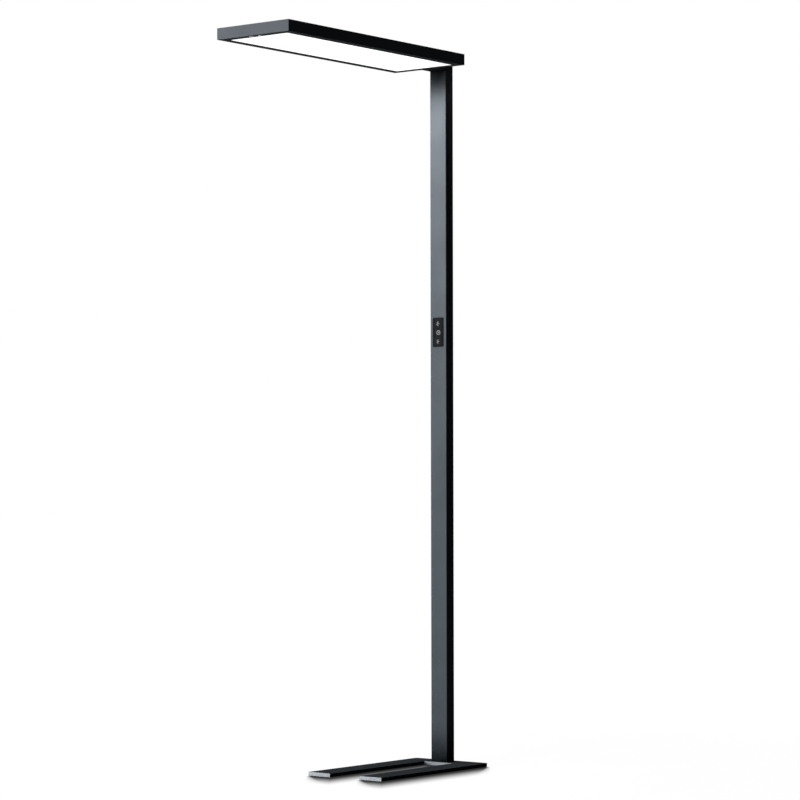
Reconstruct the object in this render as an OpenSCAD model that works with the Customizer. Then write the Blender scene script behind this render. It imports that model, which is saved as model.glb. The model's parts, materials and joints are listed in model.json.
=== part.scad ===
// Office floor lamp: a flat LED head on a slim pole, on a U-shaped base that straddles a desk leg.
// Millimetres. Z is up, the head reaches towards -Y, and the origin is on the floor under the pole.

/* [Overall] */
// Height from the floor to the top of the head
total_h = 1950; // [1700:1:2100]

/* [Base] */
// Length of the base plate from the tine ends to the back edge
base_l = 473; // [420:1:560]
// Width of the base plate
base_w = 248; // [220:1:300]
// Thickness of the base plate
base_t = 10; // [8:0.5:14]
// Width of each tine
tine_w = 74.5; // [60:0.5:85]
// Depth of the bridge that joins the tines under the pole
bridge_l = 63; // [56:1:90]
// Distance from the pole's centre to the back edge
base_back = 42; // [36:1:52]
// Corner radius at the back of the plate
back_corner_r = 8; // [2:1:20]
// Corner radius at the tine ends
tine_corner_r = 1.5; // [0.5:0.5:6]
// Radius in the corners of the slot
slot_corner_r = 3; // [1:0.5:10]
// Radius of the rubber pads
pad_r = 8; // [5:0.5:9]
// Thickness of the rubber pads
pad_t = 2; // [1.5:0.1:3]
// How far the pads stand out under the plate
pad_proud = 0.5; // [0.3:0.1:1]
// Distance of the pads from the plate's ends
pad_inset = 15; // [12:1:30]

/* [Pole] */
// Width of the pole
pole_w = 54; // [54:1:64]
// Depth of the pole, front to back
pole_d = 34; // [34:1:46]
// Wall of the extrusion
pole_wall = 2.2; // [1.8:0.1:2.6]
// Outer edge radius of the extrusion
pole_edge_r = 1.5; // [0.5:0.5:2]
// Wall of the screw ports
port_wall = 1.8; // [1.2:0.1:2]
// Opening of the screw ports towards the inside
port_slot = 1.8; // [1:0.1:2.5]

/* [Mains inlet] */
// Height of the lead's inlet above the floor
gland_z = 62; // [60:1:120]
// Radius of the hole for the mains lead
gland_bore_r = 3.6; // [2.5:0.1:4]
// Radius of the gland's thread
gland_thread_r = 6; // [5.5:0.1:7]
// Length of the gland's thread, from its collar
gland_thread_l = 9; // [8:0.5:10]
// Width of the gland's hexagon across its corners
gland_hex_w = 18; // [17:0.5:20]
// Thickness of the gland's collar and of its nut
gland_collar_t = 3; // [2:0.5:4]
// Length of the gland's round nose
gland_nose_l = 6; // [4:0.5:8]

/* [Neck] */
// Free length of the neck between the pole and the head
neck_l = 37.5; // [30:0.5:60]
// Thickness of the neck's cover plate
neck_cover_t = 2; // [1:0.5:3]
// Width of the lead channel
channel_w = 28; // [27:1:29]
// Metal left under the heads of the neck screws
neck_seat_t = 14; // [8:1:18]

/* [Head] */
// Length of the head
head_l = 747; // [600:1:900]
// Width of the head
head_w = 240; // [220:1:300]
// Thickness of the head
head_t = 30; // [30:0.5:40]
// Width of the rim around the lower diffuser
rim_w = 25; // [23:0.5:32]
// Wall of the frame rails
rail_wall = 2; // [1.5:0.1:2.5]
// Thickness of the rails' inner ledges
ledge_t = 1.5; // [1:0.1:2]
// How far the ledges reach in, from the outer face
ledge_w = 8; // [7:0.5:10]
// Height of the channel for the corner keys
key_channel_h = 10; // [9:0.5:10]
// Height of the lips that close the corner key channel
channel_lip = 2; // [1:0.1:2.4]
// Leg length of the corner keys
corner_leg = 30; // [20:1:40]
// Thickness of the head's top cover
cover_t = 2; // [1.5:0.1:3]
// Gap around the top cover and around both diffusers
panel_gap = 0.3; // [0.2:0.1:0.8]

/* [Light] */
// Thickness of the lip that holds each diffuser
diffuser_lip_t = 1; // [0.8:0.1:1.5]
// Thickness of the light guide
guide_t = 4; // [3:0.5:5]
// Thickness of the reflector sheet
reflector_t = 0.5; // [0.3:0.1:0.8]
// Thickness of the tray's sheet
tray_t = 1.5; // [1:0.1:2]
// Pitch of the LEDs
led_pitch = 20; // [12:1:40]
// Side of one LED
led_side = 3.5; // [2:0.5:4]
// Height of one LED
led_h = 0.8; // [0.5:0.1:1]
// Thickness of the LED boards
board_t = 1.6; // [1:0.1:2]
// Height of the edge strips beside the light guide
strip_h = 5; // [4:0.5:6]
// Width of each uplight board
up_board_w = 20; // [14:1:30]
// Distance of each uplight board from the head's middle
up_board_x = 50; // [30:1:56]
// Distance from the head's rear end to the window in its top
window_back = 140; // [136:1:220]
// Distance from the window to the head's other edges
window_rim = 34; // [30:1:45]
// Corner radius of the window
window_r = 4; // [1:0.5:10]

/* [Head electrics] */
// Distance from the LED drivers' ends to the head's sides
driver_side = 27; // [24:1:50]
// Width of each LED driver
driver_w = 34; // [28:1:36]
// Height of each LED driver
driver_h = 15; // [12:0.5:16]
// Length of the drivers' mounting ears
driver_ear = 9; // [8:0.5:12]
// Gap between the electrical parts in the head
driver_gap = 6; // [4:1:8]
// Length of the terminal block, across the head
terminal_l = 40; // [36:1:60]
// Width of the terminal block
terminal_w = 16; // [12:1:18]

/* [Sensors] */
// Distance of each sensor lens from the head's middle
sensor_x = 15.5; // [12:0.5:30]
// Radius of the lenses where they pass through the rim
lens_r = 5.5; // [3:0.1:6]
// Depth of the motion lens's dome below the rim
dome_h = 2; // [0.5:0.1:3]
// Length of the sensor housing
sensor_l = 48; // [46:1:80]
// Width of the sensor housing
sensor_w = 16; // [15:0.5:17]
// Height of the sensor housing
sensor_h = 9; // [7:0.5:11]

/* [Controls] */
// Height of the control panel's middle above the floor
panel_z = 1194.5; // [900:0.5:1400]
// Width of the control panel
panel_w = 36; // [35:0.5:38]
// Height of the control panel
panel_h = 79; // [79:0.5:90]
// Corner radius of the control panel
panel_r = 1.5; // [0.5:0.5:4]
// How far the panel stands out of the pole
panel_proud = 1.2; // [0.8:0.1:2]
// Lip of the panel that covers the edge of its cut-out
panel_lip = 2; // [1.8:0.1:2.2]
// Wall of the panel's box
box_wall = 1.2; // [1:0.1:1.3]
// Width of the keys
key_w = 24; // [18:0.5:24.5]
// Height of the keys
key_h = 22.6; // [16:0.1:23]
// Distance between the middles of neighbouring keys
key_pitch = 25; // [24.5:0.1:25.2]
// Gap around each key
key_gap = 0.3; // [0.2:0.05:0.4]
// How far each key moves in
key_travel = 0.6; // [0.3:0.1:0.8]
// How far the keys stand out of the panel
key_proud = 0.3; // [0:0.1:0.5]
// Radius of the switches' plungers
plunger_r = 1.7; // [1.2:0.1:2]
// Side of the switches
switch_side = 6.2; // [6:0.1:8]
// Height of the switches
switch_h = 3.4; // [3.2:0.1:4]

/* [Inner leads] */
// Radius of the lead between the mains connector and the head
supply_r = 3; // [2:0.1:3.2]
// Radius of the lead between the controls and the head
control_r = 1.5; // [1:0.1:2]
// Distance of the supply lead to the left of the middle
supply_x = 10; // [9.8:0.1:10.5]
// Distance of the control lead to the right of the middle
control_x = 8; // [4:0.5:11]

/* [Screws] */
// Radius of the pole's foot and neck screws
pole_screw_r = 3; // [2.5:0.1:3.2]
// How far those screws reach into the pole
pole_screw_reach = 24; // [15:1:40]
// Radius of the bolts between the neck and the head
bolt_r = 2.5; // [2:0.1:2.6]
// How far those bolts reach into the neck
bolt_reach = 12; // [8:1:14]
// Radius of the small screws
small_screw_r = 1.5; // [1.2:0.1:1.6]
// Number of screws along each side of the top cover
cover_screws_a_side = 5; // [2:1:8]

/* [Hidden] */
$fn = 48;

// Clearance of a screw in its hole, and of a loose fit
slack = 0.1;
// A cutter runs this far past the face that it cuts
past = 1;

// Base
base_z = pad_proud;
base_top = base_z + base_t;
front_y = base_back - base_l;
slot_w = base_w - 2 * tine_w;
slot_end_y = base_back - bridge_l;
tine_x = base_w / 2 - tine_w / 2;
pad_places = [
    [-tine_x, front_y + pad_inset], [tine_x, front_y + pad_inset],
    [-tine_x, (front_y + base_back) / 2], [tine_x, (front_y + base_back) / 2],
    [-base_w / 2 + pad_inset, base_back - pad_inset], [base_w / 2 - pad_inset, base_back - pad_inset],
    [0, 0]
];

// Pole: the ports' rings run into both walls
port_r = pole_screw_r + slack / 2;
port_x = pole_w / 2 - pole_wall - port_r - port_wall / 3;
port_y = pole_d / 2 - pole_wall - port_r - port_wall / 3;
port_places = [for (sx = [-1, 1], sy = [-1, 1]) [sx * port_x, sy * port_y]];
pole_screw_head_r = 2 * pole_screw_r;
inner_y = pole_d / 2 - pole_wall;

// Head: heights are above its underside
head_z = total_h - head_t;
head_back_y = -pole_d / 2 - neck_l;
head_front_y = head_back_y - head_l;
ledge_z = head_t - cover_t - ledge_t;
rib_z = ledge_z - key_channel_h - ledge_t;
guide_z = rail_wall + diffuser_lip_t;
reflector_z = guide_z + guide_t;
tray_z = reflector_z + reflector_t;
floor_z = tray_z + tray_t;
// The stack starts this far inside the rim's inner edge at the two ends
end_overlap = 2;
stack_end = rim_w - end_overlap;
tray_side = rail_wall + 3.5;
guide_side = rail_wall + 3;
lip_side = guide_side + 1;

// Neck
neck_back_y = pole_d / 2;
channel_z = rib_z + ledge_t;
bolt_x = pole_w / 2 - 7;
bolt_low_z = rail_wall + 6;
bolt_high_z = channel_z + key_channel_h / 2;
bolt_head_r = 1.68 * bolt_r;
bolt_head_h = 2.8;
lid_screw_y = [head_back_y + bolt_reach + 8, 0];
lid_screw_l = 8;

// Controls: depths are behind the panel's face
face_y = -pole_d / 2 - panel_proud;
box_w = panel_w - 3 * panel_lip;
box_h = panel_h - 2 * panel_lip;
plate_t = 2 * panel_proud;
wing = 1.2;
wing_t = 1.2;
rest_gap = 0.1;
stem_l = 1.7;
stem_r = 2;
wing_u = plate_t + rest_gap;
stem_u = wing_u + wing_t;
plunger_u = stem_u + stem_l;
switch_u = plunger_u + key_travel + 1.2;
board_u = switch_u + switch_h;
back_u = board_u + board_t;
back_t = 1.5;
box_depth = back_u + back_t;
plunger_l = switch_u - plunger_u + 1.8;
key_corner_r = 1.2;
cut_gap = 0.2;

// Leads: the control lead starts at the back of the controls
lead_y = 4;
lead_z = channel_z + 3.5;
control_start_y = face_y + box_depth;
duct_back_y = lead_y + supply_r + 2;
duct_front_y = control_start_y - 3.5;
lead_bend = 11;
control_bend = 2.8;
connector_w = 28;
connector_d = 20;
connector_h = 34;

// Head electrics: the drivers lie across the head, measured from its rear end
driver_l = head_w - 2 * driver_side - 2 * driver_ear;
terminal_at = stack_end + tray_t + driver_gap / 2;
driver_at = terminal_at + terminal_w + driver_gap;
driver_places = [for (i = [0, 1]) head_back_y - driver_at - driver_w / 2 - i * (driver_w + driver_gap)];
ear_t = 1.5;
rim_mid_y = head_front_y + rim_w / 2;
lens_flange_r = lens_r + 1;
lens_flange_t = 1.5;
strip_t = 1.2;

// Window in the top cover
window_w = head_w - 2 * window_rim;
window_l = head_l - window_back - window_rim;
window_y = head_front_y + window_rim + window_l / 2;
window_lip = 8;
cover_screw_y = [
    for (i = [0 : cover_screws_a_side - 1])
        head_front_y + 60 + i * (head_l - 120) / (cover_screws_a_side - 1)
];
cover_screw_x = head_w / 2 - rail_wall - 3;

coat = [0.16, 0.17, 0.19];
coat_dark = [0.08, 0.08, 0.09];
steel = [0.62, 0.63, 0.65];
opal = [0.96, 0.97, 0.98];
board_green = [0.10, 0.32, 0.18];

// ---- Shared shapes ----

// Rectangle about the origin with round corners
module round_rect(w, d, r) {
    square([w - 2 * r, d], center = true);
    square([w, d - 2 * r], center = true);
    for (sx = [-1, 1], sy = [-1, 1])
        translate([sx * (w / 2 - r), sy * (d / 2 - r)]) circle(r);
}

// Cutter that rounds a corner at the origin, for metal in the +X +Y quarter
module corner_cutter(r) {
    difference() {
        translate([-past, -past]) square(r + past);
        translate([r, r]) circle(r);
    }
}

// Block standing on z, centred in X and Y
module block(w, d, h) {
    translate([-w / 2, -d / 2, 0]) cube([w, d, h]);
}

// Extrusion towards +Y of an outline drawn in X and Z
module towards_back(depth) {
    rotate([90, 0, 0]) translate([0, 0, -depth]) linear_extrude(depth) children();
}

// Screw along +Z with a round head below zero and a hexagon socket in the head
module cap_screw(r, len, head_r, head_h) {
    difference() {
        union() {
            cylinder(r = r, h = len);
            translate([0, 0, -head_h]) cylinder(r = head_r, h = head_h);
        }
        translate([0, 0, -head_h - past]) cylinder(r = r, h = head_h * 0.6 + past, $fn = 6);
    }
}

// Countersunk screw along +Z, its flat head at zero
module flat_screw(r, len, head_r) {
    difference() {
        union() {
            cylinder(r = r, h = len);
            cylinder(r1 = head_r, r2 = r, h = head_r - r);
        }
        translate([0, 0, -past]) cylinder(r = 0.9 * r, h = (head_r - r) * 0.7 + past, $fn = 6);
    }
}

// Hole for a countersunk screw, starting at zero
module flat_hole(r, len, head_r) {
    cylinder(r = r + slack, h = len);
    cylinder(r1 = head_r + slack, r2 = r + slack, h = head_r - r);
    translate([0, 0, -past]) cylinder(r = head_r + slack, h = past);
}

// Lead that rises along +Z, bends and runs on towards -Y
module rising_lead(r, from_z, to_z, y_up, y_end) {
    straight_y = y_up - lead_bend;
    translate([0, y_up, from_z]) cylinder(r = r, h = to_z - lead_bend - from_z);
    translate([0, straight_y, to_z - lead_bend])
        rotate([90, 0, 90])
            rotate_extrude(angle = 90) translate([lead_bend, 0]) circle(r);
    translate([0, straight_y, to_z]) rotate([90, 0, 0]) cylinder(r = r, h = straight_y - y_end);
}

// Row of LEDs along Y on a face that looks along +Z
module led_row(len) {
    count = floor((len - led_side) / led_pitch);
    for (i = [0 : count])
        translate([0, (i - count / 2) * led_pitch, 0]) block(led_side, led_side, led_h);
}

// Stepped panel: a lip behind a raised middle, raised towards +Z
module stepped_panel(w, l, step, lip_x, lip_y, lip_t, r) {
    translate([0, 0, lip_t]) linear_extrude(step) round_rect(w, l, r);
    linear_extrude(lip_t) square([w + 2 * lip_x, l + 2 * lip_y], center = true);
}

// ---- Base ----

module base_outline() {
    difference() {
        translate([-base_w / 2, front_y]) square([base_w, base_l]);
        translate([0, slot_end_y - base_l / 2]) round_rect(slot_w, base_l, slot_corner_r);
        for (side = [0, 1]) mirror([side, 0]) {
            translate([base_w / 2, base_back]) rotate(180) corner_cutter(back_corner_r);
            translate([base_w / 2, front_y]) rotate(90) corner_cutter(tine_corner_r);
            translate([slot_w / 2, front_y]) corner_cutter(tine_corner_r);
        }
    }
}

module base_plate() {
    color(coat) difference() {
        translate([0, 0, base_z]) linear_extrude(base_t) base_outline();
        for (p = port_places)
            translate([p.x, p.y, base_z]) flat_hole(pole_screw_r, base_t + past, pole_screw_head_r);
        for (p = pad_places)
            translate([p.x, p.y, base_z - past]) cylinder(r = pad_r + slack, h = pad_t - pad_proud + past);
    }
}

module base_pads() {
    color(coat_dark)
        for (p = pad_places) translate([p.x, p.y, 0]) cylinder(r = pad_r, h = pad_t);
}

module foot_screws() {
    color(steel)
        for (p = port_places)
            translate([p.x, p.y, base_z + slack])
                flat_screw(pole_screw_r, base_t - slack + pole_screw_reach, pole_screw_head_r);
}

// ---- Pole and mains inlet ----

module pole_section() {
    difference() {
        intersection() {
            round_rect(pole_w, pole_d, pole_edge_r);
            union() {
                difference() {
                    square([pole_w, pole_d], center = true);
                    square([pole_w - 2 * pole_wall, pole_d - 2 * pole_wall], center = true);
                }
                for (p = port_places) translate(p) circle(port_r + port_wall);
            }
        }
        for (p = port_places) translate(p) {
            circle(port_r);
            // Every port opens sideways, towards the middle of the pole
            rotate(p.x > 0 ? 180 : 0) translate([0, -port_slot / 2]) square([2 * port_r + port_wall, port_slot]);
        }
    }
}

module pole() {
    color(coat) difference() {
        translate([0, 0, base_top]) linear_extrude(head_z - base_top) pole_section();
        translate([0, -pole_d / 2 - past, panel_z])
            towards_back(pole_wall + port_r + past)
                square([box_w + 2 * cut_gap, box_h + 2 * cut_gap], center = true);
        translate([0, inner_y - past, gland_z])
            rotate([-90, 0, 0]) cylinder(r = gland_thread_r + slack, h = pole_wall + 2 * past);
    }
}

// Gland: thread, hexagon collar and round nose on one bore, revolved and drilled along +Y
module cable_gland() {
    color(coat_dark) translate([0, pole_d / 2, gland_z]) rotate([-90, 0, 0]) difference() {
        union() {
            translate([0, 0, -gland_thread_l]) cylinder(r = gland_thread_r, h = gland_thread_l);
            cylinder(r = gland_hex_w / 2, h = gland_collar_t, $fn = 6);
            translate([0, 0, gland_collar_t]) cylinder(r = gland_thread_r + 1.5, h = gland_nose_l - 2);
            translate([0, 0, gland_collar_t + gland_nose_l - 2])
                cylinder(r1 = gland_thread_r + 1.5, r2 = gland_thread_r, h = 2);
        }
        translate([0, 0, -gland_thread_l - past])
            cylinder(r = gland_bore_r, h = gland_thread_l + gland_collar_t + gland_nose_l + 2 * past);
    }
}

module gland_nut() {
    color(steel) translate([0, inner_y - gland_collar_t, gland_z]) rotate([-90, 0, 0]) difference() {
        cylinder(r = gland_hex_w / 2, h = gland_collar_t, $fn = 6);
        translate([0, 0, -past]) cylinder(r = gland_thread_r + slack, h = gland_collar_t + 2 * past);
    }
}

// Connector at the pole's foot, between its screw ports
module mains_connector() {
    color(opal) translate([0, 0, base_top]) difference() {
        block(connector_w, connector_d, connector_h);
        for (x = [-8, 0, 8]) {
            translate([x, -4, connector_h - 6]) cylinder(r = 2, h = 6 + past);
            translate([x, connector_d / 2 + past, connector_h - 12]) rotate([90, 0, 0]) cylinder(r = 1.8, h = 8);
        }
    }
}

module supply_lead() {
    color(coat_dark) translate([-supply_x, 0, 0])
        rising_lead(supply_r, base_top + connector_h, head_z + lead_z, lead_y, head_back_y - terminal_at);
}

// The lead leaves the back of the controls, turns up and follows the supply lead
module control_lead() {
    color(coat_dark) translate([control_x, 0, 0]) {
        translate([0, control_start_y, panel_z + control_bend])
            rotate([90, 0, 90]) rotate(-90)
                rotate_extrude(angle = 90) translate([control_bend, 0]) circle(control_r);
        rising_lead(
            control_r, panel_z + control_bend, head_z + lead_z,
            control_start_y + control_bend, head_back_y - terminal_at
        );
    }
}

// ---- Neck ----

module neck_outline() {
    difference() {
        translate([-pole_w / 2, head_back_y]) square([pole_w, neck_back_y - head_back_y]);
        for (side = [0, 1]) mirror([side, 0])
            translate([pole_w / 2, neck_back_y]) rotate(180) corner_cutter(pole_edge_r);
    }
}

module lid_screw_places() {
    for (sx = [-1, 1], y = lid_screw_y) translate([sx * bolt_x, y, 0]) children();
}

module head_bolt_places() {
    for (x = [-bolt_x, bolt_x], z = [bolt_low_z, bolt_high_z])
        translate([x, head_back_y, head_z + z]) children();
}

// Block that carries the head, open at the top for its screws and leads
module neck_bracket() {
    block_h = head_t - neck_cover_t;
    color(coat) difference() {
        translate([0, 0, head_z]) linear_extrude(block_h) neck_outline();
        // Screws down into the pole's ports
        for (p = port_places) translate([p.x, p.y, head_z]) {
            translate([0, 0, -past]) cylinder(r = pole_screw_r + slack, h = head_t);
            translate([0, 0, neck_seat_t]) cylinder(r = pole_screw_head_r - 0.8, h = head_t);
        }
        // Duct up from the pole, and the channel on towards the head
        translate([-channel_w / 2, duct_front_y, head_z - past])
            cube([channel_w, duct_back_y - duct_front_y, head_t]);
        translate([-channel_w / 2, head_back_y - past, head_z + channel_z])
            cube([channel_w, duct_back_y - head_back_y + past, block_h - channel_z + past]);
        // Threaded holes for the head's bolts and for the cover's screws
        head_bolt_places()
            translate([0, -past, 0])
                rotate([-90, 0, 0]) cylinder(r = bolt_r + slack / 2, h = bolt_reach + 2 + past);
        lid_screw_places()
            translate([0, 0, total_h - neck_cover_t - lid_screw_l])
                cylinder(r = small_screw_r + slack / 2, h = lid_screw_l + past);
    }
}

// Plate over the whole block, flush with its sides
module neck_cover() {
    color(coat) difference() {
        translate([0, 0, total_h - neck_cover_t]) linear_extrude(neck_cover_t) neck_outline();
        lid_screw_places()
            translate([0, 0, total_h]) mirror([0, 0, 1])
                flat_hole(small_screw_r, neck_cover_t + past, 2 * small_screw_r);
    }
}

module neck_screws() {
    color(steel)
        for (p = port_places)
            translate([p.x, p.y, head_z + neck_seat_t]) mirror([0, 0, 1])
                cap_screw(pole_screw_r, neck_seat_t + pole_screw_reach, pole_screw_head_r - 1, 2 * pole_screw_r);
}

module neck_cover_screws() {
    color(steel) lid_screw_places()
        translate([0, 0, total_h - slack]) mirror([0, 0, 1])
            flat_screw(small_screw_r, lid_screw_l, 2 * small_screw_r);
}

module head_bolts() {
    color(steel) head_bolt_places()
        translate([0, -rail_wall, 0]) rotate([-90, 0, 0])
            cap_screw(bolt_r, rail_wall + bolt_reach, bolt_head_r, bolt_head_h);
}

// ---- Controls ----

module at_panel(u) {
    translate([0, face_y + u, panel_z]) children();
}

module key_places() {
    for (i = [-1, 0, 1]) translate([0, 0, i * key_pitch]) children();
}

module control_bezel() {
    hook_t = 0.8;
    hook_l = 3;
    color(coat_dark) difference() {
        union() {
            at_panel(0) towards_back(panel_proud) round_rect(panel_w, panel_h, panel_r);
            at_panel(0) towards_back(box_depth) square([box_w, box_h], center = true);
            // Hooks that snap behind the pole's front wall, above and below
            for (side = [0, 1])
                at_panel(panel_proud + pole_wall + slack) mirror([0, 0, side])
                    translate([-box_w / 4, 0, box_h / 2]) rotate([90, 0, 90])
                        linear_extrude(box_w / 2) polygon([[0, -1], [0, hook_t], [hook_l, 0], [hook_l, -1]]);
        }
        at_panel(plate_t) towards_back(box_depth) square([box_w - 2 * box_wall, box_h - 2 * box_wall], center = true);
        key_places() at_panel(-past)
            towards_back(plate_t + 2 * past)
                round_rect(key_w + 2 * key_gap, key_h + 2 * key_gap, key_corner_r + key_gap);
    }
}

module control_inner(u, t) {
    at_panel(u) towards_back(t)
        square([box_w - 2 * box_wall - 2 * slack, box_h - 2 * box_wall - 2 * slack], center = true);
}

module control_back() {
    color(coat_dark) control_inner(back_u, back_t);
}

module control_board() {
    color(board_green) control_inner(board_u, board_t);
}

module switch_bodies() {
    color(coat_dark) key_places() at_panel(switch_u) difference() {
        towards_back(switch_h) square(switch_side, center = true);
        translate([0, -past, 0]) rotate([-90, 0, 0])
            cylinder(r = plunger_r + slack / 2, h = switch_h - 0.4 + past);
    }
}

// Push key: cap in its window, two wings that keep it behind the panel, and a stem on the switch
module push_key(place) {
    color(coat_dark) translate([0, 0, place * key_pitch]) {
        at_panel(-key_proud) towards_back(key_proud + wing_u) round_rect(key_w, key_h, key_corner_r);
        at_panel(wing_u) towards_back(wing_t) square([key_w + 2 * wing, key_h], center = true);
        at_panel(stem_u) towards_back(stem_l) circle(stem_r);
    }
}

module push_plunger(place) {
    color(steel) translate([0, 0, place * key_pitch]) at_panel(plunger_u) towards_back(plunger_l) circle(plunger_r);
}

// ---- Head frame ----

// Rail section, first inwards from the outer face, then up from the underside
module rail_section() {
    lip_t = ledge_t;
    in = ledge_w - lip_t;
    polygon([
        [0, 0], [rim_w, 0], [rim_w, rail_wall], [rail_wall, rail_wall],
        // Lower rib of the corner key channel, with its lip
        [rail_wall, rib_z], [ledge_w, rib_z], [ledge_w, channel_z + channel_lip],
        [in, channel_z + channel_lip], [in, channel_z], [rail_wall, channel_z],
        // Upper ledge, which closes the channel and carries the cover
        [rail_wall, ledge_z], [in, ledge_z], [in, ledge_z - channel_lip], [ledge_w, ledge_z - channel_lip],
        [ledge_w, ledge_z + ledge_t], [rail_wall, ledge_z + ledge_t], [rail_wall, head_t], [0, head_t]
    ]);
}

// Rail along +X with its outer face on the XZ plane, mitred at both ends
module mitred_rail(len) {
    intersection() {
        rotate([90, 0, 90]) linear_extrude(len) rail_section();
        linear_extrude(head_t) polygon([[0, 0], [len, 0], [len - rim_w, rim_w], [rim_w, rim_w]]);
    }
}

module cover_screw_places(sides) {
    for (side = sides, y = cover_screw_y) translate([side * cover_screw_x, y, total_h]) mirror([0, 0, 1]) children();
}

module frame_left() {
    color(coat) difference() {
        translate([-head_w / 2, head_back_y, head_z]) rotate(-90) mitred_rail(head_l);
        cover_screw_places([-1]) cylinder(r = small_screw_r + slack / 2, h = head_t - ledge_z + past);
    }
}

module frame_right() {
    color(coat) difference() {
        translate([head_w / 2, head_front_y, head_z]) rotate(90) mitred_rail(head_l);
        cover_screw_places([1]) cylinder(r = small_screw_r + slack / 2, h = head_t - ledge_z + past);
    }
}

module frame_front() {
    color(coat) difference() {
        translate([-head_w / 2, head_front_y, head_z]) mitred_rail(head_w);
        for (sx = [-1, 1])
            translate([sx * sensor_x, rim_mid_y, head_z - past])
                cylinder(r = lens_r + slack, h = rail_wall + 2 * past);
    }
}

module frame_rear() {
    color(coat) difference() {
        translate([head_w / 2, head_back_y, head_z]) rotate(180) mitred_rail(head_w);
        head_bolt_places()
            translate([0, -rail_wall - past, 0])
                rotate([-90, 0, 0]) cylinder(r = bolt_r + slack, h = rail_wall + 2 * past);
        // Gate for the leads, as high as the corner key channel
        translate([-channel_w / 2, head_back_y - ledge_w - past, head_z + channel_z])
            cube([channel_w, ledge_w + 2 * past, key_channel_h]);
    }
}

module corner_keys() {
    t = ledge_w - ledge_t - rail_wall;
    corners = [[0, 0], [0, 1], [1, 0], [1, 1]];
    color(steel) translate([0, head_front_y + head_l / 2, head_z + channel_z])
        for (c = corners) mirror([c.x, 0, 0]) mirror([0, c.y, 0])
            translate([-head_w / 2 + rail_wall, -head_l / 2 + rail_wall, 0])
                linear_extrude(key_channel_h) difference() {
                    square(corner_leg);
                    translate([t, t]) square(corner_leg);
                }
}

// ---- Light, from the bottom up ----

module over_head(z) {
    translate([0, head_front_y + head_l / 2, head_z + z]) children();
}

module downlight_diffuser() {
    w = head_w - 2 * rim_w - 2 * panel_gap;
    l = head_l - 2 * rim_w - 2 * panel_gap;
    lip_x = rim_w + panel_gap - lip_side;
    lip_y = end_overlap + panel_gap;
    color(opal) over_head(guide_z) mirror([0, 0, 1])
        stepped_panel(w, l, rail_wall, lip_x, lip_y, diffuser_lip_t, 1);
}

module light_guide() {
    color([0.85, 0.93, 0.95]) over_head(guide_z) block(head_w - 2 * guide_side, head_l - 2 * stack_end, guide_t);
}

module reflector_sheet() {
    color("white") over_head(reflector_z)
        block(head_w - 2 * guide_side, head_l - 2 * stack_end, reflector_t);
}

// Edge strips stand on the rims beside the light guide, LEDs inwards
module downlight_strips() {
    len = head_l - 2 * stack_end;
    color(opal) over_head(rail_wall + strip_h / 2)
        for (side = [0, 1]) mirror([side, 0, 0])
            translate([-head_w / 2 + rail_wall, 0, 0]) rotate([0, 90, 0]) {
                block(strip_h, len, strip_t);
                translate([0, 0, strip_t]) led_row(len);
            }
}

module head_tray() {
    w = head_w - 2 * tray_side;
    l = head_l - 2 * stack_end;
    color(steel) difference() {
        over_head(tray_z) block(w, l, rib_z - tray_z);
        over_head(floor_z) block(w - 2 * tray_t, l - 2 * tray_t, rib_z);
        driver_screw_places() cylinder(r = small_screw_r + slack / 2, h = head_t, center = true);
    }
}

module uplight_boards() {
    len = window_l - 2 * window_lip;
    color(opal) translate([0, window_y, head_z + floor_z])
        for (sx = [-1, 1]) translate([sx * up_board_x, 0, 0]) {
            block(up_board_w, len, board_t);
            translate([0, 0, board_t]) led_row(len);
        }
}

module uplight_diffuser() {
    lip_z = head_t - cover_t - diffuser_lip_t;
    color(opal) translate([0, window_y, head_z + lip_z])
        stepped_panel(
            window_w - 2 * panel_gap, window_l - 2 * panel_gap, cover_t,
            window_lip, window_lip, diffuser_lip_t, window_r - panel_gap
        );
}

module head_cover() {
    edge = rail_wall + panel_gap;
    color(coat) difference() {
        over_head(head_t - cover_t) block(head_w - 2 * edge, head_l - 2 * edge, cover_t);
        translate([0, window_y, total_h - cover_t - past])
            linear_extrude(cover_t + 2 * past) round_rect(window_w, window_l, window_r);
        cover_screw_places([-1, 1]) flat_hole(small_screw_r, cover_t + past, 2 * small_screw_r);
    }
}

module cover_screws() {
    color(steel) cover_screw_places([-1, 1])
        translate([0, 0, slack]) flat_screw(small_screw_r, cover_t + ledge_t + 2, 2 * small_screw_r);
}

// ---- Head electrics ----

module driver_screw_places() {
    for (y = driver_places, sx = [-1, 1], sy = [-1, 1])
        translate([sx * (driver_l / 2 + driver_ear / 2), y + sy * driver_w / 4, head_z + floor_z + ear_t])
            children();
}

module led_drivers() {
    color(opal) difference() {
        for (y = driver_places) translate([0, y, head_z + floor_z]) {
            block(driver_l, driver_w, driver_h);
            block(driver_l + 2 * driver_ear, driver_w, ear_t);
        }
        driver_screw_places() cylinder(r = small_screw_r + slack, h = 3 * ear_t, center = true);
    }
}

module driver_screws() {
    color(steel) driver_screw_places() mirror([0, 0, 1])
        cap_screw(small_screw_r, ear_t + tray_t, 1.8 * small_screw_r, 1.8);
}

module terminal_block() {
    h = ledge_z - floor_z;
    color(opal) translate([0, head_back_y - terminal_at - terminal_w / 2, head_z + floor_z]) difference() {
        block(terminal_l, terminal_w, h);
        for (x = [-12, -4, 4, 12]) translate([x, -2, h - 5]) cylinder(r = 2, h = 5 + past);
    }
}

// ---- Sensors in the front rim ----

module sensor_places(side) {
    translate([side * sensor_x, rim_mid_y, head_z]) children();
}

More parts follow.
